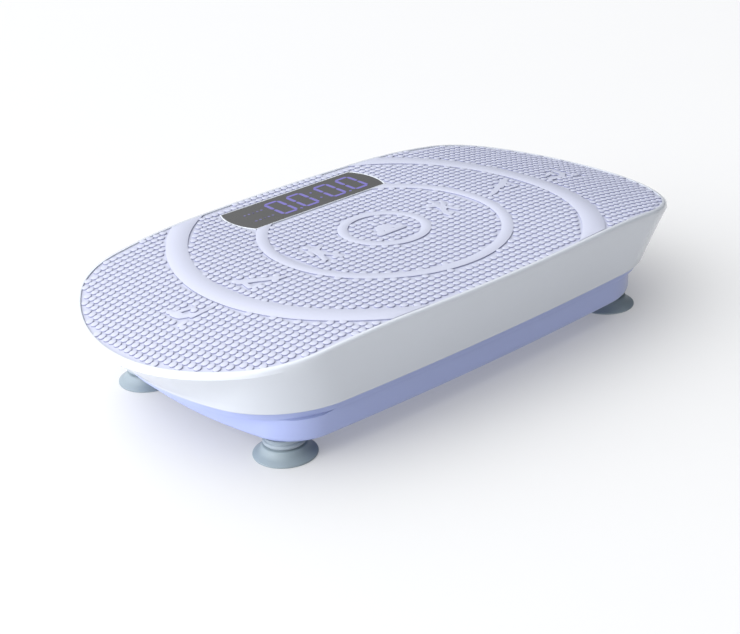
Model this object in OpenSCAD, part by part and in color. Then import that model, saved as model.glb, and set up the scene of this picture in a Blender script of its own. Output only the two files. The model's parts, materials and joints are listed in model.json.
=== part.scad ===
// Slim oscillating vibration plate: a crowned deck that rocks on a shaft across its middle,
// driven by a belt, an eccentric and a short rod, over a shallow base on four suction feet.
// Z is up from the floor, X runs along the deck, Y across it, and the display is on +Y.

/* [Deck] */
// Length over the rim
deck_l = 524; // [515:1:535]
// Width over the rim
deck_w = 284; // [280:1:290]
// Height of the deck's flat middle above the floor
deck_h = 98; // [96:0.5:102]
// Half length of the flat middle
crown_flat = 95; // [85:1:105]
// Radius at which the ends curve down
crown_r = 700; // [600:10:900]
// Radius of the rim's long sides
rim_side_r = 1500; // [1200:50:2500]
// Radius of the rim's ends
rim_end_r = 165; // [155:1:180]
// Radius of the rim's corners
rim_corner_r = 78; // [70:1:85]
// Width of the rim around the mat
rim_w = 4.2; // [3:0.1:5]
// Thickness of the mat
mat_t = 3; // [2:0.5:3.5]
// Thickness of the board under the mat
board_t = 5; // [4:0.5:5]

/* [Skirt] */
// Length over the skirt's lower edge
lip_l = 464; // [458:1:470]
// Width over the skirt's lower edge
lip_w = 252; // [250:1:256]
// Height of the skirt's lower edge
lip_h = 43.5; // [43:0.5:46]
// Radius of the lower edge's long sides
lip_side_r = 3000; // [2500:100:4000]
// Radius of the lower edge's ends
lip_end_r = 232; // [220:2:250]
// Radius of the lower edge's corners
lip_corner_r = 78; // [74:1:80]
// Wall thickness of the skirt
shell_t = 3; // [2.5:0.1:3.2]

/* [Base] */
// Height of the tub's underside
base_h = 18; // [17:0.5:19]
// Height of the tub's upper edge
tub_top = 60; // [56:0.5:62]
// Clearance between the skirt and the tub
base_gap = 2.4; // [2.2:0.1:3]
// Half length of the tub below its ledge
base_l = 210; // [208:1:212]
// Radius of the end arcs on the left and on the right
base_end_r = [400, 250];
// Radius of the corners on the left and on the right
base_corner_r = [40, 60];
// Height of the ledge over the ends
cut_h = 36; // [34:0.5:37]
// Wall thickness of the tub
tub_t = 3; // [2.5:0.1:3.2]

/* [Feet] */
// Distance of the feet from the middle along X
foot_x = 176; // [170:1:180]
// How far the feet's middle lies to the left of the deck's
foot_shift = 5; // [0:1:6]
// Distance of the feet from the middle along Y
foot_y = 86; // [78:1:87]
// Diameter of a suction cup
cup_d = 48; // [44:1:52]
// Diameter of a foot's neck
neck_d = 32; // [28:1:34]

/* [Display] */
// Length of the window along its straight edges
win_l = 140; // [130:1:146]
// Width of the window
win_w = 46; // [42:1:47]
// Distance of the window's middle from the deck's middle
win_y = 100.5; // [98:0.5:100.5]
// Radius of the window's bowed ends
win_r = 50; // [45:1:60]
// Width of the bezel
bezel_w = 1.4; // [1:0.1:1.6]

/* [Drive] */
// Throw of the eccentric
throw = 2; // [1.5:0.1:2]
// Distance of the crank shaft from the middle
crank_x = 75; // [70:1:80]
// Height of the crank shaft
crank_z = 48.5; // [48:0.1:49]
// Distance of the motor from the middle, on the other side
motor_x = 95; // [90:1:100]
// Height of the motor's axis
motor_z = 49; // [48.5:0.1:50]
// Height of the rocking shaft
pivot_z = 60; // [58:0.5:60]
// Running clearance of a shaft in a bearing
run_gap = 0.03; // [0.02:0.01:0.08]

/* [Hidden] */
$fn = 72;

// Outline of a three-arc oval: [half length, half width, side, end and corner radius]
rim = [deck_l / 2, deck_w / 2, rim_side_r, rim_end_r, rim_corner_r];
lip = [lip_l / 2, lip_w / 2, lip_side_r, lip_end_r, lip_corner_r];
tub_in = shell_t + base_gap;
n_end = 4;
n_corner = 8;
n_side = 6;
n_quad = n_end + n_corner + n_side;

// Centre of the corner arc that touches both the side arc and the end arc
function corner(o) = let (
    y0 = o[1] - o[2], x1 = o[0] - o[3], p = o[2] - o[4], q = o[3] - o[4],
    d = norm([x1, y0]), s = (p * p - q * q + d * d) / (2 * d),
    h = sqrt(max(p * p - s * s, 0)), ux = x1 / d, uy = -y0 / d)
  [s * ux + h * uy, y0 + s * uy - h * ux];
// Point on an arc
function on_arc(cx, cy, r, a) = [cx + r * cos(a), cy + r * sin(a)];
// One quarter of the outline, drawn in by e, from the +X end to the +Y side
function quarter(o, e) = let (
    c = corner(o), y0 = o[1] - o[2], x1 = o[0] - o[3],
    a1 = atan2(c[1] - y0, c[0]), a2 = atan2(c[1], c[0] - x1))
  concat(
    [for (i = [0:n_end - 1]) on_arc(x1, 0, o[3] - e, a2 * i / n_end)],
    [for (i = [0:n_corner - 1]) on_arc(c[0], c[1], o[4] - e, a2 + (a1 - a2) * i / n_corner)],
    [for (i = [0:n_side]) on_arc(0, y0, o[2] - e, a1 + (90 - a1) * i / n_side)]);
// The whole outline, anticlockwise
function outline(o, e = 0) = let (q = quarter(o, e)) concat(
    [for (i = [0:n_quad - 1]) q[i]],
    [for (i = [n_quad:-1:1]) [-q[i][0], q[i][1]]],
    [for (i = [0:n_quad - 1]) [-q[i][0], -q[i][1]]],
    [for (i = [n_quad:-1:1]) [q[i][0], -q[i][1]]]);
// Height lost by the crowned deck at x
function drop(x) = let (u = max(abs(x) - crown_flat, 0)) crown_r - sqrt(crown_r * crown_r - u * u);
// A ring that follows the crown, h below its surface
function crown_ring(e, h) = [for (p = outline(rim, e)) [p[0], p[1], deck_h - drop(p[0]) - h]];
// A level ring
function flat_ring(o, e, z) = [for (p = outline(o, e)) [p[0], p[1], z]];
// Outline of the tub below its ledge, with tighter corners on the left than on the right
function base_oval(side) = [base_l, lip_w / 2 - tub_in, lip_side_r - tub_in, base_end_r[side], base_corner_r[side]];
// The point of an outline, drawn in by e, that faces direction t
function facing(o, e, t) = let (
    c = corner(o), y0 = o[1] - o[2], x1 = o[0] - o[3],
    a1 = atan2(c[1] - y0, c[0]), a2 = atan2(c[1], c[0] - x1))
  t < a2 ? on_arc(x1, 0, o[3] - e, t) : t < a1 ? on_arc(c[0], c[1], o[4] - e, t) : on_arc(0, y0, o[2] - e, t);
// A quarter of the tub's outline, whose points face the same ways as the points of the skirt's
function base_quarter(side, e) = let (
    c = corner(lip), a1 = atan2(c[1] - lip[1] + lip[2], c[0]), a2 = atan2(c[1], c[0] - lip[0] + lip[3]))
  [for (i = [0:n_quad]) facing(base_oval(side), e,
    i < n_end ? a2 * i / n_end : i < n_end + n_corner ? a2 + (a1 - a2) * (i - n_end) / n_corner
      : a1 + (90 - a1) * (i - n_end - n_corner) / n_side)];
function base_line(e) = let (l = base_quarter(0, e), r = base_quarter(1, e)) concat(
    [for (i = [0:n_quad - 1]) r[i]],
    [for (i = [n_quad:-1:1]) [-l[i][0], l[i][1]]],
    [for (i = [0:n_quad - 1]) [-l[i][0], -l[i][1]]],
    [for (i = [n_quad:-1:1]) [r[i][0], -r[i][1]]]);
// A level ring below the ledge, e inside the tub's outer face
function end_ring(e, z) = [for (p = base_line(e)) [p[0], p[1], z]];
// A ring part of the way from one ring to another
function mix_ring(r0, r1, t) = [for (i = [0:len(r0) - 1]) r0[i] * (1 - t) + r1[i] * t];

// Skin through a list of rings: closed into a hoop, or capped at both ends
module skin(rings, hoop = false) {
  n = len(rings[0]);
  m = len(rings);
  pts = [for (r = rings) each r];
  sides = [for (i = [0:(hoop ? m - 1 : m - 2)], j = [0:n - 1])
    let (a = i * n + j, b = i * n + (j + 1) % n,
         c = ((i + 1) % m) * n + (j + 1) % n, d = ((i + 1) % m) * n + j)
    each [[c, b, a], [d, c, a]]];
  caps = hoop ? [] : [[for (j = [0:n - 1]) j], [for (j = [n - 1:-1:0]) (m - 1) * n + j]];
  polyhedron(points = pts, faces = concat(sides, caps));
}
// Side view of everything under the crown, its surface lowered by h
module crown_side(h) {
  translate([-crown_flat, 0]) square([2 * crown_flat, deck_h - h]);
  for (s = [0, 1]) mirror([s, 0]) intersection() {
    translate([crown_flat, deck_h - h - crown_r]) circle(crown_r, $fn = 360);
    translate([crown_flat, 0]) square([deck_l / 2, deck_h]);
  }
}
// A crowned sheet between two depths below the deck's surface, drawn in by e at its edge
module crown_sheet(e, h0, h1) {
  intersection() {
    rotate([90, 0, 0]) translate([0, 0, -deck_w]) linear_extrude(2 * deck_w)
      difference() { crown_side(h0); crown_side(h1); }
    linear_extrude(2 * deck_h) polygon(outline(rim, e));
  }
}
// Window outline, b wider all round: straight long edges and bowed ends
module window_2d(b) {
  cx = win_l / 2 - sqrt(win_r * win_r - win_w * win_w / 4);
  translate([0, win_y]) for (s = [0, 1]) mirror([s, 0]) intersection() {
    translate([cx, 0]) circle(win_r + b, $fn = 180);
    translate([0, -win_w / 2 - b]) square([win_l, win_w + 2 * b]);
  }
}
// Cylinder along Y from y0 to y1
module rod_y(r, y0, y1) { translate([0, y1, 0]) rotate([90, 0, 0]) cylinder(r = r, h = y1 - y0); }
// Ring along Y
module ring_y(ro, ri, y0, y1) { difference() { rod_y(ro, y0, y1); rod_y(ri, y0 - 1, y1 + 1); } }
// Plate in the XZ plane, from y0 to y1
module plate_y(y0, y1) { translate([0, y1, 0]) rotate([90, 0, 0]) linear_extrude(y1 - y0) children(); }

// Colours of the mouldings and metals
c_shell = "#f3f5fa";
c_base = "#bfc8ee";
c_steel = "#9aa0a8";
c_dark = "#3a3c40";
c_rubber = "#8f9ba8";

// Levels inside the tub
floor_z = base_h + tub_t;
plate_t = 2;
plate_z = floor_z + plate_t;
board_under = deck_h - mat_t - board_t;
rail_y = 46;
rail_z0 = 76;
rail_z1 = 83;
rail_half_w = 10;
stop_x = 165;
pad_z = rail_z0 - 20;

// Running gear
shaft_r = 5;
pivot_r = 6;
race_r = 10.5;
house_r = 14;
post_y = 58;
ecc_r = 7.5;
rod_x = crank_x + throw;
rod_len = 22;
pin_z = crank_z + rod_len;
pin_r = 3;
big_r = 12;
eye_r = 8.1;
rod_w = 7;
motor_r = 20;
motor_y0 = -54;
motor_y1 = 30;
cradle_z = motor_z - 7;
spindle_r = 3;
belt_y = -79;
belt_w = 8;
belt_t = 2;
belt_gap = 0.3;
small_pulley_r = 8.5;
big_pulley_r = 17;
flange_h = 1.5;

// Back wall fittings
inlet_x = 70;
switch_x = 106;
fit_z = 30.5;
wall_y = 120.6;

// Tub with a narrow ledge over its ends, open at the back for the inlet and the switch
module base_tub() {
  ledge_z = cut_h + 1.2;
  color(c_base) difference() {
    skin([
      end_ring(4, base_h), end_ring(2, base_h + 0.5), end_ring(0.6, base_h + 1.9),
      end_ring(0, floor_z + 1), end_ring(0, cut_h),
      flat_ring(lip, tub_in, ledge_z), flat_ring(lip, tub_in, tub_top),
      flat_ring(lip, tub_in + tub_t, tub_top), flat_ring(lip, tub_in + tub_t, ledge_z + tub_t),
      end_ring(tub_t, cut_h + tub_t), end_ring(tub_t, floor_z)]);
    translate([inlet_x - 13.2, wall_y - 20, fit_z - 7.2]) cube([26.4, 40, 14.4]);
    translate([switch_x - 11.2, wall_y - 20, fit_z - 7.2]) cube([22.4, 40, 14.4]);
  }
}

// Steel plate on the tub's floor that carries the running gear
module chassis_plate() {
  color(c_steel) difference() {
    translate([-190, -95, floor_z]) cube([368, 190, plate_t]);
    for (x = [-170, 170], y = [-80, 80]) translate([x, y, floor_z - 1]) cylinder(r = 2.55, h = 4);
    for (x = [-150, -40, 40, 150]) translate([x, 0, floor_z - 1]) cylinder(r = 12, h = 4);
  }
}
// Moulded neck between the tub and a cup
module foot_neck(i) {
  s = [[-1, -1], [1, -1], [1, 1], [-1, 1]][i - 1];
  r = neck_d / 2;
  color("#b4bfcc") translate([s[0] * foot_x - foot_shift, s[1] * foot_y, 0]) rotate_extrude()
    polygon([[0, 9], [r - 2, 9], [r - 2, 10.2], [r, 10.8], [r, 12.6], [r - 1.6, 13.4],
      [r - 1.2, base_h - 3], [r + 1.5, base_h], [0, base_h]]);
}
// Suction cup: a thin flange, a cone and a shallow hollow underneath
module suction_cup(i) {
  s = [[-1, -1], [1, -1], [1, 1], [-1, 1]][i - 1];
  r = cup_d / 2;
  color(c_rubber) translate([s[0] * foot_x - foot_shift, s[1] * foot_y, 0]) rotate_extrude()
    polygon([[0, 5.5], [8, 5], [14, 3.4], [r - 2.5, 0], [r - 0.4, 0], [r, 0.5], [r - 0.2, 1.6],
      [r - 3.5, 3.4], [r - 6.5, 6.6], [neck_d / 2 + 0.2, 9], [0, 9]]);
}
module foot_neck_1() { foot_neck(1); }
module foot_neck_2() { foot_neck(2); }
module foot_neck_3() { foot_neck(3); }
module foot_neck_4() { foot_neck(4); }
module suction_cup_1() { suction_cup(1); }
module suction_cup_2() { suction_cup(2); }
module suction_cup_3() { suction_cup(3); }
module suction_cup_4() { suction_cup(4); }

// Upright with a flanged foot and a round seat for a bearing
module upright(x, z, y0, y1, foot, foot_y0, foot_y1) {
  color("#6f757d") difference() {
    union() {
      plate_y(y0, y1) polygon([[x - foot + 6, plate_z], [x + foot - 6, plate_z],
        [x + house_r - 1, z], [x - house_r + 1, z]]);
      translate([x, 0, z]) rod_y(house_r, y0, y1);
      translate([x - foot, foot_y0, plate_z]) cube([2 * foot, foot_y1 - foot_y0, 4]);
    }
    translate([x, 0, z]) rod_y(race_r, y0 - 1, y1 + 1);
    for (s = [-1, 1], y = [(foot_y0 + y0) / 2, (foot_y1 + y1) / 2])
      if (y < y0 - 2 || y > y1 + 2)
        translate([x + s * (foot - 5), y, plate_z - 1]) cylinder(r = 2.05, h = 6);
  }
}
module pivot_post_near() { upright(0, pivot_z, -post_y - 5, -post_y + 5, 30, -post_y - 8, -post_y + 5); }
module pivot_post_far() { upright(0, pivot_z, post_y - 5, post_y + 5, 30, post_y - 5, post_y + 13); }
module crank_block_near() { upright(crank_x, crank_z, -57, -47, 24, -57, -39); }
module crank_block_far() { upright(crank_x, crank_z, 23, 33, 24, 23, 41); }

// Bearing drawn as one ring with a step between its races
module bearing(x, z, bore, y0, y1) {
  mid = (bore + race_r) / 2;
  color("#c9ced6") translate([x, 0, z]) difference() {
    rod_y(race_r, y0, y1);
    rod_y(bore, y0 - 1, y1 + 1);
    for (y = [y0 - 1, y1 - 0.4]) ring_y(mid + 1, mid - 1, y, y + 1.4);
  }
}
module pivot_bearing_near() { bearing(0, pivot_z, pivot_r + run_gap, -post_y - 4, -post_y + 4); }
module pivot_bearing_far() { bearing(0, pivot_z, pivot_r + run_gap, post_y - 4, post_y + 4); }
module crank_bearing_near() { bearing(crank_x, crank_z, shaft_r + run_gap, -56, -48); }
module crank_bearing_far() { bearing(crank_x, crank_z, shaft_r + run_gap, 24, 32); }

// Saddle under the motor
module motor_cradle() {
  color(c_dark) difference() {
    translate([-motor_x - 24, -34, plate_z]) cube([48, 48, cradle_z - plate_z]);
    translate([-motor_x, 0, motor_z]) rod_y(motor_r, -60, 60);
    for (s = [-1, 1], y = [-28, 8]) translate([-motor_x + s * 21, y, plate_z - 1]) cylinder(r = 1.6, h = 30);
  }
}
// Band over the motor, bent out to a foot on each side
module motor_strap() {
  t = 1.5;
  color(c_steel) translate([-motor_x, 0, 0]) {
    difference() {
      translate([0, 0, motor_z]) rod_y(motor_r + t, -18, -2);
      translate([0, 0, motor_z]) rod_y(motor_r, -19, -1);
      translate([-40, -20, 0]) cube([80, 30, motor_z]);
    }
    for (s = [0, 1]) mirror([s, 0, 0]) {
      translate([motor_r, -18, cradle_z]) cube([t, 16, motor_z - cradle_z]);
      translate([motor_r, -18, cradle_z]) cube([4, 16, t]);
    }
  }
}
module motor_can() {
  color("#5a5e66") translate([-motor_x, 0, motor_z]) ring_y(motor_r, motor_r - 1.5, motor_y0, motor_y1);
}
module motor_front_cap() {
  color("#2f3236") translate([-motor_x, 0, motor_z]) difference() {
    union() { rod_y(motor_r, motor_y0 - 4, motor_y0); rod_y(8, motor_y0 - 7, motor_y0 - 4); }
    rod_y(spindle_r + run_gap, motor_y0 - 8, motor_y0 + 1);
  }
}
module motor_rear_cap() {
  color("#2f3236") translate([-motor_x, 0, motor_z]) difference() {
    union() { rod_y(motor_r, motor_y1, motor_y1 + 4); rod_y(8, motor_y1 + 4, motor_y1 + 7); }
    rod_y(spindle_r + run_gap, motor_y1 - 1, motor_y1 + 5);
  }
}
module motor_shaft() {
  color("#d5d9df") translate([-motor_x, 0, motor_z]) rod_y(spindle_r, belt_y - 7, motor_y1 + 4);
}
module motor_armature() {
  color("#a5623a") translate([-motor_x, 0, motor_z]) difference() {
    rod_y(15, -44, 20);
    rod_y(spindle_r, -45, 21);
    for (a = [0:45:315]) rotate([0, a, 0]) translate([13, -50, -1]) cube([4, 80, 2]);
  }
}
// Flanged pulley on a shaft
module pulley(x, z, r, bore) {
  h = belt_w / 2 + 0.5;
  color("#b9bec6") translate([x, 0, z]) difference() {
    union() {
      rod_y(r, belt_y - h, belt_y + h);
      for (s = [-1, 1]) rod_y(r + flange_h, belt_y + s * (h + 0.75) - 0.75, belt_y + s * (h + 0.75) + 0.75);
    }
    rod_y(bore, belt_y - 10, belt_y + 10);
  }
}
module motor_pulley() { pulley(-motor_x, motor_z, small_pulley_r, spindle_r); }
module crank_pulley() { pulley(crank_x, crank_z, big_pulley_r, shaft_r); }

// Loop of an open belt round both pulleys, e beyond their grooves
function belt_loop(e) = let (
    dx = crank_x + motor_x, dz = crank_z - motor_z, ra = small_pulley_r + e, rb = big_pulley_r + e,
    d = norm([dx, dz]), lean = atan2(dz, dx), a = acos((ra - rb) / d), n = 24)
  concat(
    [for (i = [0:n]) on_arc(-motor_x, motor_z, ra, lean + a + (360 - 2 * a) * i / n)],
    [for (i = [0:n]) on_arc(crank_x, crank_z, rb, lean - a + 2 * a * i / n)]);
module drive_belt() {
  color("#26282b") plate_y(belt_y - belt_w / 2, belt_y + belt_w / 2) difference() {
    polygon(belt_loop(belt_gap + belt_t));
    polygon(belt_loop(belt_gap));
  }
}
module crank_shaft() {
  color("#d5d9df") {
    translate([crank_x, 0, crank_z]) rod_y(shaft_r, belt_y - 7, 38);
    translate([rod_x, 0, crank_z]) rod_y(ecc_r, -rod_w / 2, rod_w / 2);
  }
}
module connecting_rod() {
  color("#8b9199") difference() {
    union() {
      translate([rod_x, 0, crank_z]) rod_y(big_r + 3.5, -rod_w / 2, rod_w / 2);
      translate([rod_x, 0, pin_z]) rod_y(eye_r + 3, -rod_w / 2, rod_w / 2);
      plate_y(-rod_w / 2, rod_w / 2) polygon([[rod_x - 12, crank_z + 8], [rod_x + 12, crank_z + 8],
        [rod_x + 9, pin_z], [rod_x - 9, pin_z]]);
    }
    translate([rod_x, 0, crank_z]) rod_y(big_r, -rod_w, rod_w);
    translate([rod_x, 0, pin_z]) rod_y(eye_r, -rod_w, rod_w);
  }
}
module rod_bearing() {
  color("#c9ced6") translate([rod_x, 0, crank_z]) ring_y(big_r, ecc_r + run_gap, -rod_w / 2, rod_w / 2);
}
module rod_bush() {
  color("#2c2c2e") translate([rod_x, 0, pin_z]) ring_y(eye_r - 0.3, pin_r, -rod_w / 2, rod_w / 2);
}
module rod_pin() {
  color("#d5d9df") translate([rod_x, 0, pin_z]) {
    rod_y(pin_r, -12, 12);
    for (s = [-1, 1]) rod_y(5, s * 13 - 1.5, s * 13 + 1.5);
  }
}
// Pillars under the deck's rails, and the pads that the rails would land on
module stop_posts() {
  color("#6f757d") for (x = [-stop_x, stop_x], y = [-rail_y, rail_y])
    translate([x, y, plate_z]) { cylinder(r = 8, h = pad_z - plate_z); cylinder(r = 12, h = 3); }
}
module stop_pads() {
  color("#303236") for (x = [-stop_x, stop_x], y = [-rail_y, rail_y])
    translate([x, y, pad_z]) rotate_extrude()
      polygon([[0, 0], [9, 0], [9, 6], [7.5, 11], [5, 13], [0, 13]]);
}

// Electronics at the back of the tub
module control_board() {
  color("#2e6b45") difference() {
    translate([-70, 74, plate_z + 5]) cube([110, 38, 1.6]);
    for (x = [-66, 36], y = [78, 108]) translate([x, y, plate_z + 4]) cylinder(r = 1.6, h = 4);
  }
  color("#d8d2b8") for (x = [-66, 36], y = [78, 108])
    translate([x, y, 0]) {
      translate([0, 0, y > 95 ? floor_z : plate_z]) cylinder(r = 3, h = y > 95 ? 5 + plate_t : 5);
      translate([0, 0, plate_z + 6.6]) cylinder(r = 2.6, h = 1.6);
    }
}
module transformer() {
  color("#d9b648") {
    translate([-58, 80, plate_z + 6.6]) cube([30, 26, 6]);
    translate([-54, 82, plate_z + 12.6]) cube([22, 22, 14]);
    translate([-58, 87, plate_z + 26.6]) cube([30, 12, 2]);
  }
}
module capacitor() {
  color("#27406e") translate([-14, 84, plate_z + 6.6]) cylinder(r = 7, h = 22);
  color("#27406e") translate([-14, 102, plate_z + 6.6]) cylinder(r = 6, h = 16);
}
module heat_sink() {
  color("#aab0b8") {
    translate([4, 80, plate_z + 6.6]) cube([26, 2.5, 24]);
    for (i = [0:6]) translate([4 + i * 4, 82.5, plate_z + 6.6]) cube([2, 12, 24]);
  }
}
// Two-pin power inlet in the back wall
module power_inlet() {
  color("#1f2124") difference() {
    translate([inlet_x - 13, wall_y - 17, fit_z - 7]) cube([26, 17, 14]);
    for (s = [-1, 1]) translate([inlet_x + s * 4, 0, fit_z]) rod_y(4.2, wall_y - 12, wall_y + 1);
    translate([inlet_x - 4, wall_y - 12, fit_z - 3.6]) cube([8, 13, 7.2]);
  }
}
module inlet_pins() {
  color("#d9cfa6") for (s = [-1, 1])
    translate([inlet_x + s * 4.3, 0, fit_z]) rod_y(1.2, wall_y - 12, wall_y - 3);
}
module switch_housing() {
  color("#1f2124") difference() {
    translate([switch_x - 11, wall_y - 15, fit_z - 7]) cube([22, 15, 14]);
    translate([switch_x - 9.4, wall_y - 9, fit_z - 5.4]) cube([18.8, 10, 10.8]);
    translate([switch_x, wall_y - 4, fit_z - 6.4]) cylinder(r = 1.24, h = 12.8);
  }
}
// Rocker on two stub pins, pressed in at one end at rest
module switch_rocker() {
  color("#b3262a") translate([switch_x, wall_y - 4, fit_z - 6.3]) cylinder(r = 1.2, h = 12.6);
  color("#b3262a") translate([switch_x, wall_y - 4, fit_z - 5]) rotate([0, 0, -8])
    linear_extrude(10) polygon([[-8.2, 2.6], [-7.6, -0.5], [-3, -3.4], [3, -3.4], [7.6, -0.5],
      [8.2, 2.6], [0, 1.6]]);
}
// Bolts through the chassis plate and the flanged feet
module base_bolts() {
  color("#c4c8ce") {
    for (x = [-170, 170], y = [-80, 80]) translate([x, y, 0]) {
      translate([0, 0, floor_z]) cylinder(r = 2.5, h = plate_t);
      translate([0, 0, plate_z]) cylinder(r = 4.6, h = 3, $fn = 6);
    }
    for (x = [-25, 25]) translate([x, (post_y + 13 + post_y + 5) / 2, plate_z]) {
      cylinder(r = 2, h = 4);
      translate([0, 0, 4]) cylinder(r = 3.6, h = 2.6, $fn = 6);
    }
    for (x = [-19, 19], y = [-43, 37]) translate([crank_x + x, y, plate_z]) {
      cylinder(r = 2, h = 4);
      translate([0, 0, 4]) cylinder(r = 3.6, h = 2.6, $fn = 6);
    }
  }
}

// Welded frame under the deck: two rails, five cross bars, two hangers and a clevis
module deck_frame() {
  bar = 20;
  color("#7d838b") difference() {
    union() {
      for (s = [-1, 1]) translate([-185, s * rail_y - rail_half_w, rail_z0])
        cube([370, 2 * rail_half_w, rail_z1 - rail_z0]);
      for (x = [-crank_x - throw, 0, rod_x]) translate([x - bar / 2, -rail_y - rail_half_w, rail_z1])
        cube([bar, 2 * (rail_y + rail_half_w), board_under - rail_z1]);
      for (x = [-stop_x, stop_x]) translate([x - bar / 2, -rail_y - rail_half_w, rail_z1 - 3])
        cube([bar, 2 * (rail_y + rail_half_w), 3]);
      for (s = [-1, 1]) {
        plate_y(s * rail_y - 4, s * rail_y + 4) polygon([[-20, rail_z0], [20, rail_z0],
          [pivot_r + 5, pivot_z], [-pivot_r - 5, pivot_z]]);
        translate([0, 0, pivot_z]) rod_y(pivot_r + 5, s * rail_y - 4, s * rail_y + 4);
        plate_y(s * 7.5 - 2, s * 7.5 + 2) polygon([[rod_x - 10, rail_z1 + 1], [rod_x + 10, rail_z1 + 1],
          [rod_x + 6, pin_z - 6], [rod_x - 6, pin_z - 6]]);
      }
    }
    translate([0, 0, pivot_z]) rod_y(pivot_r, -rail_y - 10, rail_y + 10);
    translate([rod_x, 0, pin_z]) rod_y(pin_r, -12, 12);
    translate([rod_x - 15, -5.5, rail_z1 - 1]) cube([30, 11, 4.4]);
    for (x = [-crank_x - throw, rod_x], y = [-rail_y, rail_y])
      translate([x, y, rail_z0 - 1]) cylinder(r = 2.55, h = 20);
  }
}
module pivot_shaft() { color("#d5d9df") translate([0, 0, pivot_z]) rod_y(pivot_r, -post_y - 7, post_y + 7); }
module frame_screws() {
  color("#c4c8ce") for (x = [-crank_x - throw, rod_x], y = [-rail_y, rail_y]) translate([x, y, 0]) {
    translate([0, 0, rail_z0]) cylinder(r = 2.5, h = board_under - rail_z0 + 3);
    translate([0, 0, rail_z0 - 2.5]) cylinder(r = 4.6, h = 2.5, $fn = 6);
  }
}
module deck_board() {
  color("#dfe2ea") difference() {
    crown_sheet(rim_w + 4.8, mat_t, mat_t + board_t - 0.1);
    linear_extrude(2 * deck_h) window_2d(bezel_w + 0.3);
    for (x = [-crank_x - throw, rod_x], y = [-rail_y, rail_y])
      translate([x, y, board_under - 1]) cylinder(r = 2.55, h = 4.1);
  }
}
// White moulding: the rim round the mat, the ledge under the board and the tapering skirt
module deck_shell() {
  ledge = mat_t + board_t;
  wall = shell_t + 0.4;
  out_hi = crown_ring(0, 4);
  out_lo = flat_ring(lip, 0, lip_h + 1.2);
  in_hi = mix_ring(crown_ring(wall, 4), flat_ring(lip, wall, lip_h + 1.2), 0.2);
  in_lo = flat_ring(lip, shell_t, lip_h);
  color(c_shell) skin([
    crown_ring(15, ledge), crown_ring(rim_w + 4.5, ledge), crown_ring(rim_w + 4.5, mat_t),
    crown_ring(rim_w, mat_t), crown_ring(rim_w, 0.3), crown_ring(rim_w - 0.5, 0),
    crown_ring(2, 0), crown_ring(1, 0.5), crown_ring(0.3, 1.8), out_hi,
    mix_ring(out_hi, out_lo, 0.5), out_lo,
    flat_ring(lip, 0.8, lip_h), in_lo, mix_ring(in_lo, in_hi, 0.5), in_hi,
    crown_ring(15, ledge + 3)], hoop = true);
}
module deck_mat() {
  color("#cfd2ee") difference() {
    crown_sheet(rim_w + 0.3, 0, mat_t);
    linear_extrude(2 * deck_h) window_2d(bezel_w + 0.3);
  }
}
// Tray for the display, its upper edge a thin bezel round the window
module display_tray() {
  color(c_shell) translate([0, 0, deck_h - 14]) difference() {
    linear_extrude(14) window_2d(bezel_w);
    translate([0, 0, 11.4]) linear_extrude(5) window_2d(0);
    translate([0, 0, 2]) linear_extrude(12) window_2d(-2);
  }
}
module display_window() {
  color("#565553") translate([0, 0, deck_h - 2.6]) linear_extrude(2.3) window_2d(-0.1);
}
module display_board() {
  color("#24583a") translate([-62, win_y - 19, deck_h - 12]) cube([124, 38, 1.6]);
}
module digit_module() {
  color("#2b2b2e") translate([-36, win_y - 14, deck_h - 10.4]) cube([94, 28, 7]);
}
module ir_receiver() {
  color("#1b1b1d") translate([-54, win_y, deck_h - 10.4]) {
    cylinder(r = 2.5, h = 5);
    translate([0, 0, 5]) intersection() {
      sphere(2.5, $fn = 48);
      translate([-3, -3, 0]) cube(6);
    }
  }
}

base_tub();
chassis_plate();
foot_neck_1();
foot_neck_2();
foot_neck_3();
foot_neck_4();
suction_cup_1();
suction_cup_2();
suction_cup_3();
suction_cup_4();
pivot_post_near();
pivot_post_far();
pivot_bearing_near();
pivot_bearing_far();
crank_block_near();
crank_block_far();
crank_bearing_near();
crank_bearing_far();
motor_cradle();
motor_strap();
motor_can();
motor_front_cap();
motor_rear_cap();
motor_shaft();
motor_armature();
motor_pulley();
drive_belt();
crank_shaft();
crank_pulley();
connecting_rod();
rod_bearing();
rod_bush();
rod_pin();
stop_posts();
stop_pads();
control_board();
transformer();
capacitor();
heat_sink();
power_inlet();
inlet_pins();
switch_housing();
switch_rocker();
base_bolts();
deck_frame();
pivot_shaft();
frame_screws();
deck_board();
deck_shell();
deck_mat();
display_tray();
display_window();
display_board();
digit_module();
ir_receiver();
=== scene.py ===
import json
import math

import bpy
from mathutils import Matrix, Vector


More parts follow.
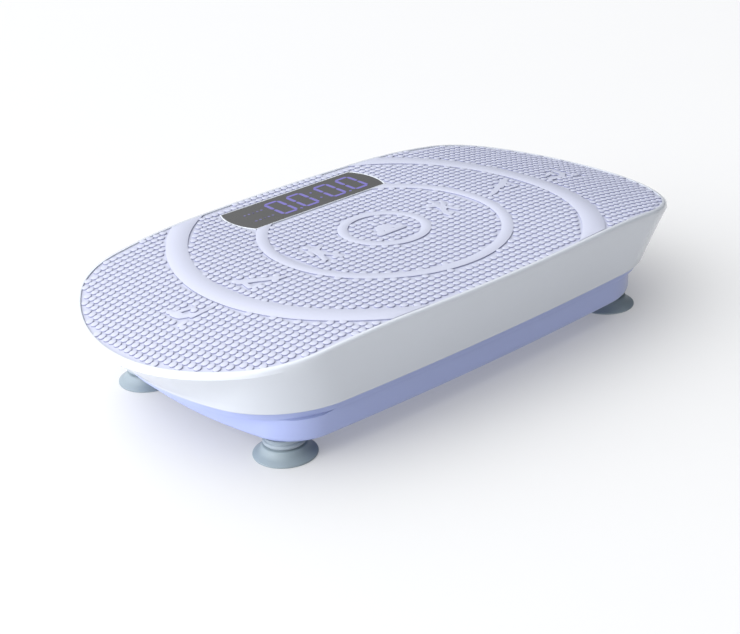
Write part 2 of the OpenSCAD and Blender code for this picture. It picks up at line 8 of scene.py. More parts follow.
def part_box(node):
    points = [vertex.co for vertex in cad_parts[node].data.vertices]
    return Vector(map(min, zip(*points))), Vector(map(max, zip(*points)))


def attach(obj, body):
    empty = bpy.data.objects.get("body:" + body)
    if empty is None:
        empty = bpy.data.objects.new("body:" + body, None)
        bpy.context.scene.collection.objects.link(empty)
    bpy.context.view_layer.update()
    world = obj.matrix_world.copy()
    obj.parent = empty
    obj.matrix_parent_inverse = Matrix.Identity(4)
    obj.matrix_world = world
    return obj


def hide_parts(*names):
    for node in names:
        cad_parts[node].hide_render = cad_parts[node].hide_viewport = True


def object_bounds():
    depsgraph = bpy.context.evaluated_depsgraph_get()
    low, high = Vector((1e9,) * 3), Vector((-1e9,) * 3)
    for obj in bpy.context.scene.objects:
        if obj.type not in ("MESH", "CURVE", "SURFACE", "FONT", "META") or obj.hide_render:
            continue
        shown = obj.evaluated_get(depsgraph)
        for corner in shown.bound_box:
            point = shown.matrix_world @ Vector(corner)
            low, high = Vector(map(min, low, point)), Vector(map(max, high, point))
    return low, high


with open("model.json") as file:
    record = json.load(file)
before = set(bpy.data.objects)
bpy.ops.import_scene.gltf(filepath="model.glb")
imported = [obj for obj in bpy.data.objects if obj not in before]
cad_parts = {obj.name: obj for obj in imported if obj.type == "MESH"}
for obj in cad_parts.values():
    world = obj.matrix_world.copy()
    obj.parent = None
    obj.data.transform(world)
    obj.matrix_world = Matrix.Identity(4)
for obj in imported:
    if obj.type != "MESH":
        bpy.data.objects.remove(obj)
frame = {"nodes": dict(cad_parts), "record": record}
cad_low, cad_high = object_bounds()

# Camera: a long lens above the plate's near left corner, rolled by three degrees.
# The position is measured from the top of the deck, and the view runs along its diagonal.
mm = 0.001
deck_top = cad_high.z
sight = Vector((0.593324, 0.689983, -0.414596))
camera_right = Vector((0.742784, -0.667783, -0.048352))
camera_up = Vector((0.310222, 0.279267, 0.908720))
camera_data = bpy.data.cameras.new("camera")
camera_data.lens = 76.449
camera_data.sensor_width = 36.0
camera_data.clip_start = 0.05
camera_data.clip_end = 100.0
camera = bpy.data.objects.new("camera", camera_data)
bpy.context.collection.objects.link(camera)
camera.location = Vector((-0.777216, -0.880350, 0.456930 + deck_top))
camera.rotation_mode = "QUATERNION"
camera.rotation_quaternion = Matrix((camera_right, camera_up, -sight)).transposed().to_quaternion()
bpy.context.scene.camera = camera


# Floor and light: a wide matt white studio floor that glows a little, as a lit table does.
# The sky is bright over the far side and low beyond the deck's left end, with a soft panel in each.
class Wire:
    """A socket of a material's node tree. Sums and products of wires add their Math nodes."""

    def __init__(self, tree, socket=None):
        self.tree = tree
        self.socket = socket

    def add(self, kind, settings=None, sockets=None, out=0):
        """Any other node: its type, its settings, then the values or links of its sockets."""
        node = self.tree.nodes.new(kind)
        for name, value in (settings or {}).items():
            setattr(node, name, value)
        for name, value in (sockets or {}).items():
            if isinstance(value, Wire):
                self.tree.links.new(value.socket, node.inputs[name])
            else:
                node.inputs[name].default_value = value
        return Wire(self.tree, node.outputs[out] if len(node.outputs) else None)

    def maths(self, operation, a, b):
        return self.add("ShaderNodeMath", {"operation": operation}, {0: a, 1: b})

    def __add__(self, other):
        return self.maths("ADD", self, other)

    def __sub__(self, other):
        return self.maths("SUBTRACT", self, other)

    def __rsub__(self, other):
        return self.maths("SUBTRACT", other, self)

    def __mul__(self, other):
        return self.maths("MULTIPLY", self, other)

    __radd__ = __add__
    __rmul__ = __mul__

    def blend(self, colour_a, colour_b):
        """From one colour to another as this wire goes from 0 to 1."""
        a, b = [(*c, 1.0) if isinstance(c, tuple) else c for c in (colour_a, colour_b)]
        return self.add("ShaderNodeMix", {"data_type": "RGBA"}, {0: self, 6: a, 7: b}, 2)

    def noise(self, scale, detail=3.0, stretch=(1, 1, 1)):
        """Noise over the object's own coordinates, scale to the metre."""
        place = self.add("ShaderNodeTexCoord", out=3)
        place = self.add("ShaderNodeMapping", None, {"Vector": place, "Scale": stretch})
        return self.add("ShaderNodeTexNoise", None,
                        {"Vector": place, "Scale": scale, "Detail": detail})


def finish(name, colour, rough, cloud=(12, 0.06), grain=(2500, 0.02), metal=0.0, coat=0.0,
           stretch=(1, 1, 1), wear=0.1, painted_shade=None):
    """A material whose colour clouds a little, with uneven gloss and a fine grain."""
    material = bpy.data.materials.new(name)
    material.use_nodes = True
    tree = material.node_tree
    tree.nodes.clear()
    start = Wire(tree)
    patches = start.noise(cloud[0])
    light = tuple(min(1.0, c * (1 + cloud[1])) for c in colour)
    dark = tuple(c * (1 - cloud[1]) for c in colour)
    # A given function can lay painted shade over the clouded colour.
    shade = patches.blend(dark, light) if painted_shade is None else painted_shade(start, patches.blend(dark, light))
    fine = start.noise(grain[0], 2.0, stretch)
    gloss = start.noise(cloud[0] * 6, 4.0, stretch) * (2 * wear * rough) + (1 - wear) * rough
    bump = start.add("ShaderNodeBump", None,
                     {"Strength": 1.0, "Distance": grain[1] * mm, "Height": fine})
    shader = start.add("ShaderNodeBsdfPrincipled", None, {
        "Base Color": shade, "Roughness": gloss, "Metallic": metal, "Coat Weight": coat,
        "Coat Roughness": 0.08, "Normal": bump})
    start.add("ShaderNodeOutputMaterial", None, {"Surface": shader})
    return material


def choose(piece):
    """Only this piece is selected, and it is the active one."""
    bpy.ops.object.select_all(action="DESELECT")
    piece.select_set(True)
    bpy.context.view_layer.objects.active = piece


bpy.ops.object.select_all(action="DESELECT")
bpy.ops.mesh.primitive_grid_add(x_subdivisions=8, y_subdivisions=8, size=30)
floor = bpy.context.object
floor.name = "floor"
floor_grey, floor_glow = 0.585, 0.22
floor_white = finish("floor_white", (floor_grey,) * 3, 0.6, cloud=(0.4, 0.005), grain=(300, 0.01))
floor_shader = floor_white.node_tree.nodes["Principled BSDF"]
floor_shader.inputs["Emission Color"].default_value = (1.0, 1.0, 1.0, 1.0)
floor_shader.inputs["Emission Strength"].default_value = floor_glow
floor.data.materials.append(floor_white)

world = bpy.data.worlds.new("studio")
bpy.context.scene.world = world
bpy.context.scene.view_settings.view_transform = "Standard"
world.use_nodes = True
world.node_tree.nodes.clear()
sky = Wire(world.node_tree)


def glow(towards, start, end):
    """How far the sky's direction leans towards that one, from 0 at start to 1 at end."""
    direction = sky.add("ShaderNodeTexCoord", out=0)
    lean = sky.add("ShaderNodeVectorMath", {"operation": "DOT_PRODUCT"}, {0: direction, 1: towards}, 1)
    return sky.add("ShaderNodeMapRange", {"interpolation_type": "SMOOTHSTEP"},
                   {"Value": lean, "From Min": start, "From Max": end})


above, left_low = glow((-0.35, 0.5, 0.8), 0.1, 0.9), glow((-0.98, 0.1, 0.15), 0.3, 0.95)
strength = 0.06 + 1.5 * above + 1.8 * left_low
sky.add("ShaderNodeOutputWorld", None, {"Surface": sky.add(
    "ShaderNodeBackground", None, {"Color": (0.97, 0.98, 1.0, 1.0), "Strength": strength})})
for name, place, size, power in (
        ("light_left", (-2.3, 0.2, 0.7), 1.2, 11),
        ("light_top", (-0.5, 1.2, 2.5), 2.0, 4)):
    lamp = bpy.data.lights.new(name, "AREA")
    lamp.shape = "SQUARE"
    lamp.size = size
    lamp.energy = power
    holder = bpy.data.objects.new(name, lamp)
    bpy.context.collection.objects.link(holder)
    holder.location = place
    holder.rotation_mode = "QUATERNION"
    holder.rotation_quaternion = (Vector((0, 0, 0.05)) - Vector(place)).to_track_quat("-Z", "Y")


# Shell: one glossy white injection moulding, with a rounded rim that follows the crowned deck,
# a ledge inside it for the board, and a skirt that leans in to a level lower edge.
shell_low, shell_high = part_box("deck_shell")
crown_flat, crown_radius = 95 * mm, 700 * mm
rim = (shell_high.x, shell_high.y, 1500 * mm, 165 * mm, 78 * mm)
lip = (232 * mm, 126 * mm, 3000 * mm, 232 * mm, 78 * mm)
lip_z = shell_low.z


def drop(x):
    """How far the crowned deck has fallen at x."""
    along = max(abs(x) - crown_flat, 0.0)
    return crown_radius - math.sqrt(crown_radius ** 2 - along ** 2)


def arcs_of(shape):
    """The end, corner and side arcs of a quarter: centre, radius, first and last direction."""
    half_l, half_w, side_r, end_r, corner_r = shape
    low_y, far_x = half_w - side_r, half_l - end_r
    p, q, d = side_r - corner_r, end_r - corner_r, math.hypot(half_l - end_r, half_w - side_r)
    s = (p * p - q * q + d * d) / (2 * d)
    h = math.sqrt(max(p * p - s * s, 0.0))
    ux, uy = far_x / d, -low_y / d
    cx, cy = s * ux + h * uy, low_y + s * uy - h * ux
    first, second = math.atan2(cy, cx - far_x), math.atan2(cy - low_y, cx)
    return ((far_x, 0.0, end_r, 0.0, first), (cx, cy, corner_r, first, second),
            (0.0, low_y, side_r, second, math.pi / 2))


def directions(shape, steps=(10, 16, 12)):
    """The directions that the points of a quarter face."""
    return [a + (b - a) * i / n
            for (x, y, r, a, b), n in zip(arcs_of(shape), steps) for i in range(n)]


def quarter_line(shape, inset, facing):
    """A quarter of the outline, drawn in by inset, with one point facing each way."""
    arcs = arcs_of(shape)
    places = []
    for angle in facing:
        x, y, r = next(arc[:3] for arc in arcs if angle < arc[4] - 1e-9)
        places.append((x + (r - inset) * math.cos(angle), y + (r - inset) * math.sin(angle)))
    return places


def oval(shape, inset, left_shape=None, facing=None):
    """Outline of side, corner and end arcs that touch, drawn in by inset, anticlockwise."""
    facing = facing or directions(shape)
    right = quarter_line(shape, inset, facing)
    left = quarter_line(left_shape or shape, inset, facing)
    half = right + [(0.0, shape[1] - inset)] + [(-x, y) for x, y in reversed(left)]
    return half + [(x, -y) for x, y in reversed(half[1:-1])]


def crown_ring(inset, depth):
    """The rim's outline on the crowned surface, that deep under it."""
    return [(x, y, deck_top - drop(x) - depth * mm) for x, y in oval(rim, inset * mm)]


def level_ring(shape, inset, z):
    return [(x, y, z) for x, y in oval(shape, inset * mm)]


def between(ring_a, ring_b, share):
    return [tuple(a + (b - a) * share for a, b in zip(p, q)) for p, q in zip(ring_a, ring_b)]


def wrap(name, rings, hoop=False):
    """A grid wrapped through the rings: closed into a hoop, or with a face over each end."""
    rows = rings + rings[:1] if hoop else rings
    count = len(rings[0])
    bpy.ops.object.select_all(action="DESELECT")
    bpy.ops.mesh.primitive_grid_add(x_subdivisions=count, y_subdivisions=len(rows) - 1, size=1)
    piece = bpy.context.object
    piece.name = piece.data.name = name
    places = [ring[i % count] for ring in rows for i in range(count + 1)]
    for corner, place in zip(piece.data.vertices, places):
        corner.co = place
    bpy.ops.object.mode_set(mode="EDIT")
    bpy.ops.mesh.select_all(action="SELECT")
    bpy.ops.mesh.remove_doubles(threshold=1e-6)
    if not hoop:
        bpy.ops.mesh.select_all(action="DESELECT")
        bpy.ops.mesh.select_mode(type="EDGE")
        bpy.ops.mesh.select_non_manifold()
        bpy.ops.mesh.edge_face_add()
        bpy.ops.mesh.select_mode(type="VERT")
    bpy.ops.mesh.select_all(action="SELECT")
    bpy.ops.mesh.normals_make_consistent(inside=False)
    bpy.ops.object.mode_set(mode="OBJECT")
    return piece


def smooth(piece, angle=30):
    choose(piece)
    bpy.ops.object.shade_smooth_by_angle(angle=math.radians(angle))


wall, ledge, ledge_l = 3.4, 8.0, 15
skirt_top = crown_ring(0, 4.2)
skirt_foot = level_ring(lip, 0, lip_z + 1.3 * mm)
inner_top = between(crown_ring(wall, 4), level_ring(lip, wall, lip_z + 1.2 * mm), 0.2)
inner_foot = level_ring(lip, 3.0, lip_z)
shell = wrap("shell_moulding", [
    crown_ring(ledge_l, ledge), crown_ring(8.7, ledge), crown_ring(8.7, 3), crown_ring(4.2, 3),
    crown_ring(4.2, 0.5), crown_ring(4.05, 0.15), crown_ring(3.7, 0), crown_ring(2.5, 0),
    crown_ring(1.6, 0.22), crown_ring(0.8, 0.8), crown_ring(0.25, 1.9), skirt_top,
    between(skirt_top, skirt_foot, 0.2), between(skirt_top, skirt_foot, 0.4),
    between(skirt_top, skirt_foot, 0.6), between(skirt_top, skirt_foot, 0.8), skirt_foot,
    level_ring(lip, 0.2, lip_z + 0.6 * mm), level_ring(lip, 0.8, lip_z), inner_foot,
    between(inner_foot, inner_top, 0.5), inner_top, crown_ring(ledge_l, ledge + 3)], hoop=True)
smooth(shell)
shell_white = finish("shell_white", (0.63, 0.662, 0.718), 0.22, cloud=(7, 0.012),
                     grain=(900, 0.012), coat=0.35)
shell.data.materials.append(shell_white)
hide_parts("deck_shell")
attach(shell, "deck")


# Mat: a soft lavender rubber sheet stuck on the board inside the rim, pressed all over with
# small round studs in a square lattice, with three flat rings and seven flat figures among them.
mat_low, mat_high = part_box("deck_mat")
stud_rise, sheet_thick = 1.0, 1.9
mat_edge = 4.5
pitch = 6.6 * mm
window_y = 100.5 * mm
window_half_l, window_half_w, window_end_r = 70 * mm, 23 * mm, 50 * mm


def apply_all(piece):
    choose(piece)
    for modifier in list(piece.modifiers):
        bpy.ops.object.modifier_apply(modifier=modifier.name)


def cut(piece, tool, operation, keep_tool=False):
    """Join, common part or difference of two closed pieces."""
    modifier = piece.modifiers.new("cut", "BOOLEAN")
    modifier.operation = operation
    modifier.solver = "EXACT"
    modifier.object = tool
    apply_all(piece)
    if not keep_tool:
        bpy.data.objects.remove(tool, do_unlink=True)


def crown_over(piece):
    """Lowers every point by as much as the crowned deck has fallen there."""
    for corner in piece.data.vertices:
        corner.co.z -= drop(corner.co.x)


def window_outline(margin, steps=16):
    """Long straight edges and bowed ends, margin wider all round."""
    centre = window_half_l - math.sqrt(window_end_r ** 2 - window_half_w ** 2)
    reach = math.asin((window_half_w + margin) / (window_end_r + margin))
    turn = [-reach + 2 * reach * i / steps for i in range(steps + 1)]
    arc = [(centre + (window_end_r + margin) * math.cos(a), (window_end_r + margin) * math.sin(a))
           for a in turn]
    return [(x, y + window_y) for x, y in arc] + [(-x, -y + window_y) for x, y in arc]


def prism(name, outline, low, high):
    return wrap(name, [[(x, y, low) for x, y in outline], [(x, y, high) for x, y in outline]])


def mark_painted_wall_shade(piece, floor_shade=1.0):
    """Stores painted shade where the mat's steep little sides are, for the colour: 1 at a foot, 0 at the
    top.
    """
    edge_drop, fade = 0.13, 0.5
    painted_shade_weights = piece.data.attributes.new("wall", "FLOAT", "POINT")
    for corner, value in zip(piece.data.vertices, painted_shade_weights.data):
        below = (deck_top - drop(corner.co.x) - corner.co.z) / (stud_rise * mm)
        value.value = floor_shade * min(1.0, max(0.0, (below - edge_drop) / fade))


bpy.ops.object.select_all(action="DESELECT")
bpy.ops.mesh.primitive_grid_add(x_subdivisions=90, y_subdivisions=48, size=1)
sheet = bpy.context.object
sheet.name = sheet.data.name = "mat_sheet"
bpy.ops.object.mode_set(mode="EDIT")
bpy.ops.mesh.select_all(action="SELECT")
bpy.ops.transform.resize(value=(2.1 * mat_high.x, 2.1 * mat_high.y, 1))
bpy.ops.transform.translate(value=(0, 0, deck_top - stud_rise * mm))
bpy.ops.object.mode_set(mode="OBJECT")
thick = sheet.modifiers.new("thick", "SOLIDIFY")
thick.thickness = sheet_thick * mm
apply_all(sheet)
mat_block = prism("mat_block", oval(rim, mat_edge * mm), deck_top - 20 * mm, deck_top + 20 * mm)
window_block = prism("window_block", window_outline(1.7 * mm), deck_top - 30 * mm, deck_top + 30 * mm)
cut(sheet, mat_block, "INTERSECT", keep_tool=True)
cut(sheet, window_block, "DIFFERENCE", keep_tool=True)
crown_over(sheet)

flat_low, flat_high = deck_top - 1.3 * mm, deck_top - 0.02 * mm
band_radii = ((157.2, 175.0), (93.4, 103.1), (29.6, 37.85))
bands = []
for inner_r, outer_r in band_radii:
    turn = [2 * math.pi * i / 180 for i in range(180)]
    profile = ((inner_r, flat_low), (inner_r, flat_high), ((inner_r + outer_r) / 2, flat_high),
               (outer_r, flat_high), (outer_r, flat_low))
    rings = [[(r * mm * math.cos(a), r * mm * math.sin(a), z) for a in turn] for r, z in profile]
    bands.append(wrap("band", rings, hoop=True))
for band in bands[:2]:
    cut(band, mat_block, "INTERSECT", keep_tool=True)
    cut(band, window_block, "DIFFERENCE", keep_tool=True)
bpy.data.objects.remove(mat_block, do_unlink=True)
bpy.data.objects.remove(window_block, do_unlink=True)

# Each figure is a head and a few limbs: (x, y, length, width, turn in degrees), in millimetres,
# filed under its centre's x, its centre's y, and how much the limbs' places are spread along x and y
figures = {
    (0, 0, 1.12, 1.08): [
        (0, -8.2, 27, 5.6, 0), (-6.5, -3.5, 13, 5, 38), (6.5, -3.5, 13, 5, -38), (0, -1, 15, 8.5, 90),
        (-5.5, 1.5, 10, 3.4, 55), (5.5, 1.5, 10, 3.4, -55), (0, 10.2, 6, 5.6, 90)],
    (-68.5, 0, 1.05, 1.12): [
        (-1, 12.5, 6, 5.6, 90), (-1, 1.5, 17, 7.5, 84), (-5, -9.5, 13, 4.6, 70), (3.5, -8.5, 13, 4.6, 118),
        (6.2, -15.5, 7, 4, 85), (5, 6, 13, 3.6, 30), (-6.5, 2.5, 12, 3.6, 75)],
    (63, 0, 1.05, 1.12): [
        (2, 12.5, 6, 5.6, 90), (0.5, 1.5, 17, 7.5, 82), (-4.5, -8, 13, 4.6, 62), (-7.5, -14.5, 8, 4, 90),
        (4.5, -9, 14, 4.6, 104), (-6, 6, 13, 3.6, -30), (6.5, 4, 11, 3.6, 60)],
    (-133, -4, 1.05, 1.18): [
        (-12, 8.5, 6, 5.6, 90), (-5, 2.2, 19, 6.6, -32), (6, -5.5, 15, 5, -35), (13, -10, 8, 4, -10),
        (-10.5, -1.5, 12, 3.8, 78), (-6.5, -7.5, 9, 3.6, 8)],
    (130, -1, 1.28, 1.1): [
        (13, 8.5, 6, 5.6, 90), (6, 2.5, 19, 6.6, 32), (-6, -4.5, 16, 5, 30), (-14, -9, 9, 4, 18),
        (11, -2, 12, 3.8, 100), (7, -8, 9, 3.6, -6)],
    (-195, -1.5, 1.05, 1.1): [
        (-8, 11, 6, 5.6, 90), (-7.5, 3, 13, 7, 96), (-4, -4, 12, 5, -40), (5, -8, 19, 4.4, -6),
        (1, 3.5, 14, 3.6, -24), (-12.5, -9.5, 9, 4, 10)],
    (198, -4, 1.2, 1.1): [
        (9, 11, 6, 5.6, 90), (8, 3, 13, 7, 82), (4, -4, 12, 5, 42), (-6, -8, 19, 4.4, 6),
        (-2, 3.5, 15, 3.6, 26), (13, -9.5, 9, 4, -10)],
}


def limb(place_x, place_y, length, width, angle):
    """A raised bar with round ends."""
    r = width / 2 * mm
    half = max(length * mm / 2 - r, 0.0)
    a = math.radians(angle)
    turn = [math.pi * (i / 10 - 0.5) for i in range(11)]
    ends = [(half + r * math.cos(t), r * math.sin(t)) for t in turn]
    loop = ends + [(-x, -y) for x, y in ends]
    turned_loop = [(place_x * mm + x * math.cos(a) - y * math.sin(a),
                    place_y * mm + x * math.sin(a) + y * math.cos(a)) for x, y in loop]
    return prism("limb", turned_loop, flat_low, flat_high)


figure_pieces = []
limb_spots = []
for (centre_x, centre_y, spread_x, spread_y), parts in figures.items():
    whole = None
    for x, y, length, width, angle in parts:
        x, y = centre_x + spread_x * x, centre_y + spread_y * y
        length = length * (spread_x + spread_y) / 2
        piece = limb(x, y, length, width, angle)
        a = math.radians(angle)
        for i in range(7):
            along = (length - width) * (i / 6 - 0.5)
            spot_x, spot_y = x + along * math.cos(a), y + along * math.sin(a)
            limb_spots.append((spot_x * mm, spot_y * mm, width / 2 * mm))
        if whole is None:
            whole = piece
        else:
            cut(whole, piece, "UNION")
    figure_pieces.append(whole)


def joined(name, pieces):
    bpy.ops.object.select_all(action="DESELECT")
    for piece in pieces:
        piece.select_set(True)
    bpy.context.view_layer.objects.active = pieces[0]
    bpy.ops.object.join()
    pieces[0].name = pieces[0].data.name = name
    return pieces[0]


mat_bands = joined("mat_rings", bands)
mat_figures = joined("mat_figures", figure_pieces)
for piece in (mat_bands, mat_figures):
    edge = piece.modifiers.new("edge", "BEVEL")
    edge.width = 0.35 * mm
    edge.segments = 2
    edge.limit_method = "ANGLE"
    edge.angle_limit = math.radians(60)
    apply_all(piece)
    crown_over(piece)


edge_line = oval(rim, (mat_edge + 1.3) * mm)
band_gap, limb_gap = 1.1 * mm, 1.4 * mm
window_side_gap, window_end_gap = 4.2 * mm, 7 * mm


def inside(x, y):
    """Whether a place is inside the line that the studs' centres stay within."""
    hit = False
    for (x1, y1), (x2, y2) in zip(edge_line, edge_line[1:] + edge_line[:1]):
        if (y1 > y) != (y2 > y) and x < (x2 - x1) * (y - y1) / (y2 - y1) + x1:
            hit = not hit
    return hit


def free_of_flats(x, y):
    """Whether a stud fits at that place, clear of the flats, the window and the mat's edge."""
    away = math.hypot(x, y)
    if any(inner_r * mm - band_gap < away < outer_r * mm + band_gap for inner_r, outer_r in band_radii):
        return False
    if any(math.hypot(x - sx, y - sy) < r + limb_gap for sx, sy, r in limb_spots):
        return False
    if (abs(y - window_y) < window_half_w + window_side_gap
            and abs(x) < window_half_l + window_end_gap):
        return False
    return inside(x, y)


# One stud: a twelve-sided button with a slightly domed top, then copied over the lattice
stud_foot_r, stud_top_r, stud_wall = 3.05, 2.9, 0.9
stud_shoulder, stud_dome, dome_share = 0.11, 0.03, 0.86
stud_middle = -(stud_wall / 2 + stud_shoulder + stud_dome)
bpy.ops.object.select_all(action="DESELECT")
bpy.ops.mesh.primitive_cone_add(
    vertices=12, radius1=stud_foot_r * mm, radius2=stud_top_r * mm, depth=stud_wall * mm,
    end_fill_type="NGON", location=(0, 0, stud_middle * mm))
stud = bpy.context.object
stud.name = "stud"
bpy.ops.object.transform_apply(location=True)
bpy.ops.object.mode_set(mode="EDIT")
bpy.ops.mesh.select_mode(type="FACE")
bpy.ops.mesh.select_all(action="DESELECT")
bpy.ops.object.mode_set(mode="OBJECT")
for face in stud.data.polygons:
    face.select = face.normal.z > 0.9
bpy.ops.object.mode_set(mode="EDIT")
bpy.ops.mesh.extrude_region_move(TRANSFORM_OT_translate={"value": (0, 0, stud_shoulder * mm)})
bpy.ops.transform.resize(value=(dome_share, dome_share, 1))
bpy.ops.mesh.extrude_region_move(TRANSFORM_OT_translate={"value": (0, 0, stud_dome * mm)})
bpy.ops.mesh.merge(type="CENTER")
bpy.ops.object.mode_set(mode="OBJECT")
for face in stud.data.polygons:
    face.select = face.normal.z < -0.9
bpy.ops.object.mode_set(mode="EDIT")
bpy.ops.mesh.delete(type="FACE")
bpy.ops.object.mode_set(mode="OBJECT")

stud_points = [corner.co.copy() for corner in stud.data.vertices]
stud_faces = [tuple(face.vertices) for face in stud.data.polygons]
bpy.data.objects.remove(stud, do_unlink=True)
points, faces = [], []
half_cols, half_rows = int(mat_high.x / pitch) + 1, int(mat_high.y / pitch) + 1
for col in range(-half_cols, half_cols + 1):
    for row in range(-half_rows, half_rows + 1):
        x, y = col * pitch, (row + 0.5) * pitch
        if not free_of_flats(x, y):
            continue
        first = len(points)
        for p in stud_points:
            points.append((p.x + x, p.y + y, p.z + deck_top - drop(p.x + x)))
        faces += [tuple(first + i for i in face) for face in stud_faces]
stud_mesh = bpy.data.meshes.new("mat_studs")
stud_mesh.from_pydata(points, [], faces)
mat_studs = bpy.data.objects.new("mat_studs", stud_mesh)
bpy.context.collection.objects.link(mat_studs)
choose(mat_studs)
bpy.ops.object.shade_smooth()


def mat_painted_shade(start, base):
    """Tops as moulded; painted shade makes them darker and more violet down the sides of the studs and the
    flats.
    """
    painted_shade_violet = (0.035, 0.042, 0.22)
    return start.add("ShaderNodeAttribute", {"attribute_name": "wall"}, None, 2).blend(base, painted_shade_violet)


# The lavender rubber, with painted shade down the sides of the studs, rings and figures.
mat_lavender = finish("mat_lavender", (0.525, 0.545, 0.66), 0.5, cloud=(9, 0.03),
                      grain=(2600, 0.03), painted_shade=mat_painted_shade)
# A little of the painted shade also darkens the sheet between the studs.
sheet_shade = 0.06
for piece in (sheet, mat_bands, mat_figures, mat_studs):
    mark_painted_wall_shade(piece, sheet_shade if piece == sheet else 1.0)
    piece.data.materials.clear()
    piece.data.materials.append(mat_lavender)
    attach(piece, "deck")
for piece in (sheet, mat_bands, mat_figures):
    smooth(piece, 35)
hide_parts("deck_mat")


# Display: a smoked acrylic window let into the mat, in a thin white bezel.
# The timer's violet seven-segment digits and two rows of small plain marks show through it.
tray_low, tray_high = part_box("display_tray")
glass_low, glass_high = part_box("display_window")
bezel = wrap("display_bezel", [
    [(x, y, z) for x, y in window_outline(margin * mm)] for margin, z in (
        (1.4, tray_low.z), (1.4, deck_top - 0.35 * mm), (1.15, deck_top - 0.08 * mm), (0.8, deck_top),
        (0.45, deck_top - 0.05 * mm), (0.05, deck_top - 0.3 * mm), (0.05, glass_low.z - 0.1 * mm),
        (-2.0, glass_low.z - 0.1 * mm), (-2.0, tray_low.z + 2 * mm))])
smooth(bezel)
bezel.data.materials.append(shell_white)
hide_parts("display_tray")
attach(bezel, "deck")

glass = wrap("display_glass", [
    [(x, y, z) for x, y in window_outline(margin * mm)] for margin, z in (
        (-0.1, glass_low.z), (-0.1, glass_high.z - 0.25 * mm), (-0.35, glass_high.z))])
smooth(glass)
glass.data.materials.append(finish("smoked_window", (0.045, 0.045, 0.044), 0.28, cloud=(20, 0.04),
                                   grain=(400, 0.004)))
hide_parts("display_window")
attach(glass, "deck")

digit_w, digit_h, stroke, lean = 14.0, 29.0, 3.0, 0.05
mid = window_y / mm
low, top = mid - digit_h / 2, mid + digit_h / 2
segments = []


def mark(x, y, length, width, upright, name="segment"):
    """A bar with pointed ends, lying on the window and leaning with the digits."""
    half, r = length / 2 - 0.35, width / 2
    loop = [(-half, 0), (-half + r, -r), (half - r, -r), (half, 0), (half - r, r), (-half + r, r)]
    if upright:
        loop = [(-v, u) for u, v in loop]
    loop = [((x + u + lean * (y + v - mid)) * mm, (y + v) * mm) for u, v in loop]
    segments.append(prism(name, loop, glass_high.z - 0.05 * mm, glass_high.z + 0.12 * mm))


for left in (-25.5, -1.7, 28.3, 53.0):
    for y in (low, top):
        mark(left, y, digit_w, stroke, False)
    for x in (left - digit_w / 2, left + digit_w / 2):
        mark(x, (low + mid) / 2, digit_h / 2, stroke, True)
        mark(x, (mid + top) / 2, digit_h / 2, stroke, True)
for x, y in ((-14.2, low), (40.0, low), (13.0, mid - 7.5), (13.0, mid + 7.5)):
    mark(x, y, 3.6, 3.0, False)
digits = joined("display_digits", segments)
segments = []
for y in (mid - 9.5, mid + 7.0):
    for i, length in enumerate((3.6, 3.6, 2.8, 3.6, 3.6)):
        mark(-58.5 + 4.4 * i, y, length, 2.6, False, "dash")
dashes = joined("display_marks", segments)


def lit(name, colour, strength):
    """Printed or lit marks: a coloured plastic that also glows a little."""
    material = finish(name, colour, 0.4, cloud=(60, 0.05), grain=(900, 0.004))
    shader = material.node_tree.nodes["Principled BSDF"]
    shader.inputs["Emission Color"].default_value = (*colour, 1.0)
    shader.inputs["Emission Strength"].default_value = strength
    return material


for piece, colour, strength in (
        (digits, (0.13, 0.11, 0.36), 0.3),
        (dashes, (0.12, 0.11, 0.26), 0.2)):
    piece.data.materials.append(lit(piece.name + "_violet", colour, strength))
    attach(piece, "deck")


# Tub: the lavender base moulding under the skirt, which steps in below a narrow ledge at both ends,
# with tighter corners on the left. It is open at the back for the power inlet and the switch.
tub_low, tub_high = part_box("base_tub")
tub_inset, tub_wall, ledge_rise = 5.4, 3.0, 1.2
tub_left = (210 * mm, lip[1] - tub_inset * mm, lip[2] - tub_inset * mm, 400 * mm, 40 * mm)
tub_right = (*tub_left[:3], 250 * mm, 60 * mm)
ledge_z = 36 * mm
floor_z = tub_low.z + tub_wall * mm


def end_ring(inset, z):
    """A level ring below the ledge, whose points face the same ways as the skirt's."""
    return [(x, y, z) for x, y in oval(tub_right, inset * mm, tub_left, directions(lip))]


tub = wrap("tub_moulding", [
    end_ring(4, tub_low.z), end_ring(2.6, tub_low.z + 0.15 * mm),
    end_ring(1.4, tub_low.z + 0.7 * mm), end_ring(0.5, tub_low.z + 1.8 * mm),
    end_ring(0, tub_low.z + 3.6 * mm), end_ring(0, ledge_z - 0.3 * mm),
    end_ring(0, ledge_z), level_ring(lip, tub_inset + 0.15, ledge_z + 0.9 * mm),
    level_ring(lip, tub_inset, ledge_z + 1.4 * mm), level_ring(lip, tub_inset, tub_high.z),
    level_ring(lip, tub_inset + tub_wall, tub_high.z),
    level_ring(lip, tub_inset + tub_wall, ledge_z + (ledge_rise + tub_wall) * mm),
    end_ring(tub_wall, ledge_z + tub_wall * mm), end_ring(tub_wall, floor_z)])
gap, inwards, outwards = 0.2 * mm, 2 * mm, 9 * mm
for node in ("power_inlet", "switch_housing"):
    low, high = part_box(node)
    hole = [(low.x - gap, low.y - inwards), (high.x + gap, low.y - inwards),
            (high.x + gap, high.y + outwards), (low.x - gap, high.y + outwards)]
    cut(tub, prism("hole", hole, low.z - gap, high.z + gap), "DIFFERENCE")
smooth(tub)
tub.data.materials.clear()
tub.data.materials.append(finish("tub_lavender", (0.37, 0.43, 0.72), 0.3, cloud=(6, 0.02),
                                 grain=(1100, 0.015), coat=0.2))
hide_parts("base_tub")
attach(tub, "base")


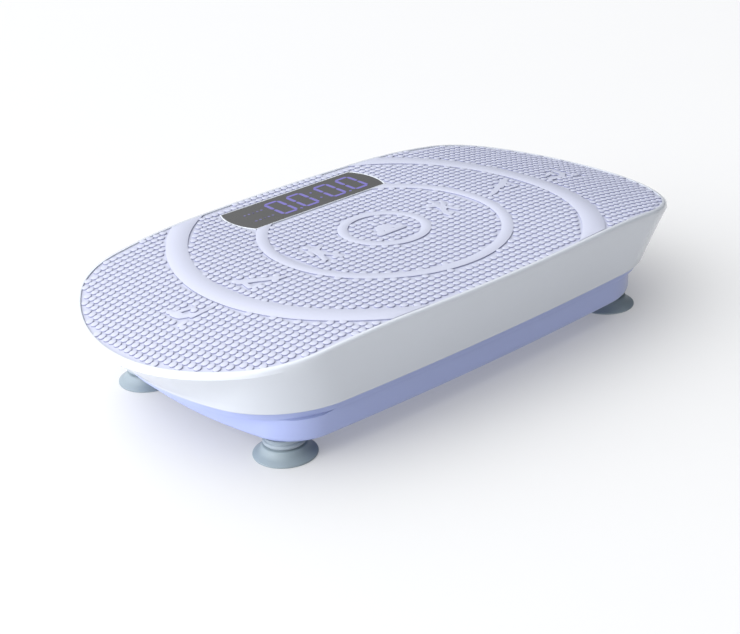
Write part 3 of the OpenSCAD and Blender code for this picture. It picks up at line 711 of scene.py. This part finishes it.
# Feet: four blue-grey suction cups of soft rubber, each pressed onto a moulded neck
# that has a groove round it, under the tub's corners.
def turned(name, place, profile, steps=72):
    """A closed shape turned round an upright axis from (radius, height) points, in millimetres."""
    turn = [2 * math.pi * i / steps for i in range(steps)]
    return wrap(name, [[(place[0] + r * mm * math.cos(a), place[1] + r * mm * math.sin(a), z * mm)
                        for a in turn] for r, z in profile])


cup_rubber = finish("cup_rubber", (0.26, 0.32, 0.36), 0.42, cloud=(30, 0.05), grain=(1800, 0.03))
foot_grey = finish("foot_grey", (0.31, 0.365, 0.42), 0.4, cloud=(30, 0.03), grain=(1500, 0.02))
cup_profile = (
    (1.0, 5.4), (8, 5), (14, 3.4), (19, 1.3), (21.5, 0.15), (22.4, 0), (23.4, 0), (23.85, 0.2),
    (24, 0.6), (23.9, 1.3), (23.2, 1.9), (20.6, 3.4), (18.6, 5.2), (17.2, 7.4), (16.6, 8.6),
    (16.1, 9.0), (1.0, 9.0))
neck_profile = (
    (1.0, 9.0), (13.9, 9.0), (13.9, 10.3), (15.6, 10.6), (16.0, 11.0), (16.0, 12.3), (15.6, 12.9),
    (14.5, 13.4), (14.7, 15.2), (15.6, 16.6), (17.4, 18.0), (1.0, 18.0))
for i in (1, 2, 3, 4):
    low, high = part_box("suction_cup_%d" % i)
    centre = ((low.x + high.x) / 2, (low.y + high.y) / 2)
    cup = turned("cup_%d" % i, centre, cup_profile)
    smooth(cup, 40)
    cup.data.materials.append(cup_rubber)
    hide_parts("suction_cup_%d" % i)
    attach(cup, "base")
    neck = turned("neck_%d" % i, centre, neck_profile)
    smooth(neck, 35)
    neck.data.materials.append(foot_grey)
    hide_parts("foot_neck_%d" % i)
    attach(neck, "base")


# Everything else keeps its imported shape: the inlet and the switch in the back wall, and the drive,
# the electronics and the frame inside, each in the finish of its own metal, rubber or plastic.
shop = {
    "bright_steel": dict(colour=(0.60, 0.61, 0.63), rough=0.25, metal=1.0, stretch=(1, 8, 1),
                         grain=(900, 0.01)),
    "cast_grey": dict(colour=(0.20, 0.21, 0.23), rough=0.6, grain=(1400, 0.08)),
    "zinc_steel": dict(colour=(0.45, 0.47, 0.50), rough=0.45, metal=0.9, cloud=(60, 0.15)),
    "motor_paint": dict(colour=(0.11, 0.115, 0.13), rough=0.4, coat=0.3),
    "black_plastic": dict(colour=(0.022, 0.022, 0.025), rough=0.5, grain=(1800, 0.05)),
    "copper_winding": dict(colour=(0.42, 0.16, 0.06), rough=0.35, metal=0.7, stretch=(1, 12, 1),
                           grain=(1500, 0.1)),
    "cast_aluminium": dict(colour=(0.55, 0.56, 0.58), rough=0.42, metal=1.0, grain=(1500, 0.05)),
    "black_rubber": dict(colour=(0.02, 0.02, 0.021), rough=0.7, grain=(1800, 0.06)),
    "board_green": dict(colour=(0.02, 0.12, 0.05), rough=0.35, cloud=(200, 0.25), coat=0.3),
    "transformer_tape": dict(colour=(0.68, 0.45, 0.05), rough=0.4, cloud=(80, 0.1)),
    "capacitor_sleeve": dict(colour=(0.02, 0.04, 0.14), rough=0.3, coat=0.4),
    "brass_pin": dict(colour=(0.72, 0.60, 0.28), rough=0.28, metal=1.0, grain=(1500, 0.01)),
    "rocker_red": dict(colour=(0.42, 0.012, 0.015), rough=0.28, coat=0.4, grain=(1500, 0.01)),
    "board_white": dict(colour=(0.72, 0.74, 0.78), rough=0.5),
}
finishes = {name: finish(name, **values) for name, values in shop.items()}
shown_as_pieces = {"deck_shell", "deck_mat", "display_tray", "display_window", "base_tub"}
for part in frame["record"]["subparts"]:
    node, slot_name = part["node"], part["material_slot"]
    if node in shown_as_pieces or node.startswith(("suction_cup", "foot_neck")):
        continue
    body_mesh = frame["nodes"][node].data
    body_mesh.materials.clear()
    body_mesh.materials.append(finishes[slot_name])
